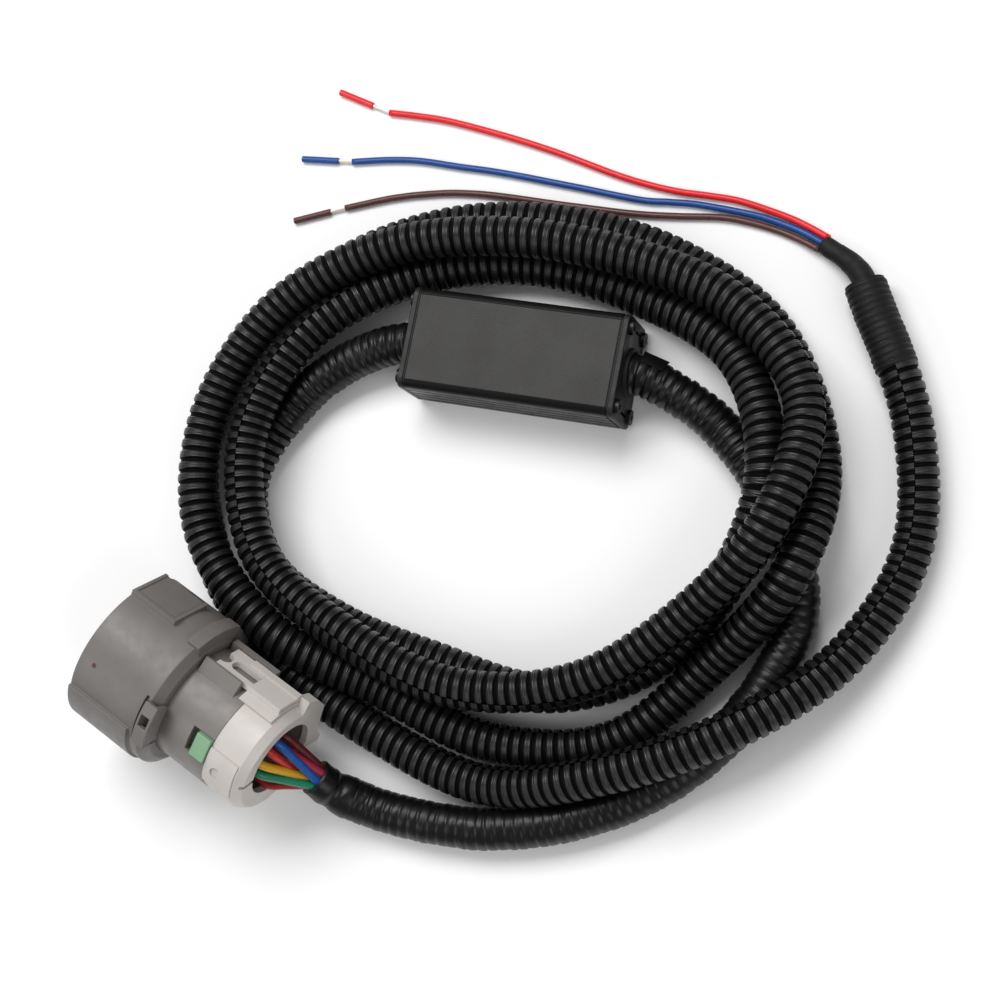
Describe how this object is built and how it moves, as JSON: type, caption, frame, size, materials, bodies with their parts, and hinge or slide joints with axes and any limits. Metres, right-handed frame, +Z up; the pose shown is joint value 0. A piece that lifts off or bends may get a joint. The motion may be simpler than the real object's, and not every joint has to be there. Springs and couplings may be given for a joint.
{
  "type": "trailer brake controller unit",
  "caption": "Inline trailer brake control box with a corrugated loom from each end, one to a round connector and one to three loose leads.",
  "frame": {"origin": "under the middle of the box, on the surface it lies on", "axes": "+X along the box towards the end whose loom runs to the round connector, +Y across the box, +Z up"},
  "size_m": [0.2853, 0.2716, 0.0599],
  "materials": {
    "anodised": "matt black anodised, fine bead-blasted sheen",
    "label_panel": "matt black film with a fine grain and no print",
    "black_rubber": "matt",
    "dark_screw": "blackened steel, worn bright at the recess",
    "board_green": "solder mask",
    "black_epoxy": "moulded epoxy",
    "thermal_pad": "soft silicone",
    "capacitor_can": "shrink sleeve",
    "terminal_metal": "tinned brass",
    "header_white": "nylon",
    "black_tape": "PVC tape, wrinkled, semi gloss",
    "loom_black": "polyethylene convoluted tube, satin",
    "loom_taped": "convoluted tube under wound PVC tape",
    "lead_red": "PVC insulation",
    "lead_blue": "PVC insulation",
    "lead_brown": "PVC insulation",
    "tinned_strands": "tinned copper strands",
    "wire_maroon": "PVC insulation",
    "wire_crimson": "PVC insulation",
    "wire_blue": "PVC insulation",
    "red_insulation": "PVC insulation",
    "wire_yellow": "PVC insulation",
    "wire_green": "PVC insulation",
    "shroud_grey": "moulded grey nylon, fine spark texture",
    "housing_grey": "moulded grey nylon",
    "block_dark": "moulded dark nylon",
    "seal_orange": "silicone rubber",
    "lock_green": "moulded pale green plastic",
    "collar_light": "moulded light warm grey plastic"
  },
  "bodies": {
    "root": {"enclosure_sleeve": "anodised", "top_label_panel": "label_panel", "left_end_plate": "anodised", "right_end_plate": "anodised", "left_end_gasket": "black_rubber", "right_end_gasket": "black_rubber", "left_plate_screws": "dark_screw", "right_plate_screws": "dark_screw", "left_grommet": "black_rubber", "right_grommet": "black_rubber", "circuit_board": "board_green", "power_transistors": "black_epoxy", "thermal_pad": "thermal_pad", "filter_capacitors": "capacitor_can", "control_chip": "black_epoxy", "motion_sensor": "black_epoxy", "current_shunt": "terminal_metal", "left_wire_header": "header_white", "right_wire_header": "header_white", "left_wire_tails": "red_insulation", "right_wire_tails": "red_insulation", "left_loom_tape": "black_tape", "left_loom": "loom_black", "lead_end_tape": "black_tape", "red_lead": "lead_red", "blue_lead": "lead_blue", "brown_lead": "lead_brown", "red_lead_strands": "tinned_strands", "blue_lead_strands": "tinned_strands", "brown_lead_strands": "tinned_strands", "red_lead_tip": "lead_red", "blue_lead_tip": "lead_blue", "brown_lead_tip": "lead_brown", "right_loom": "loom_taped", "connector_end_tape": "black_tape", "maroon_wire": "wire_maroon", "crimson_wire": "wire_crimson", "blue_wire": "wire_blue", "red_wire": "red_insulation", "yellow_wire": "wire_yellow", "green_wire": "wire_green", "lower_red_wire": "red_insulation", "connector_shroud": "shroud_grey", "shroud_clip": "shroud_grey", "connector_housing": "housing_grey", "terminal_block": "block_dark", "blade_terminals": "terminal_metal", "centre_terminal": "terminal_metal", "interface_seal": "seal_orange", "rear_wire_seal": "seal_orange"},
    "collar": {"lock_collar": "collar_light"},
    "green_lock": {"secondary_lock": "lock_green"}
  },
  "joints": [
    {"name": "collar_slide", "type": "slide", "parent": "root", "child": "collar", "axis": [0.9135, -0.4067, 0], "range_m": [0, 0.0035]},
    {"name": "green_lock_slide", "type": "slide", "parent": "root", "child": "green_lock", "axis": [-0.9135, 0.4067, 0], "range_m": [0, 0.0025]}
  ]
}
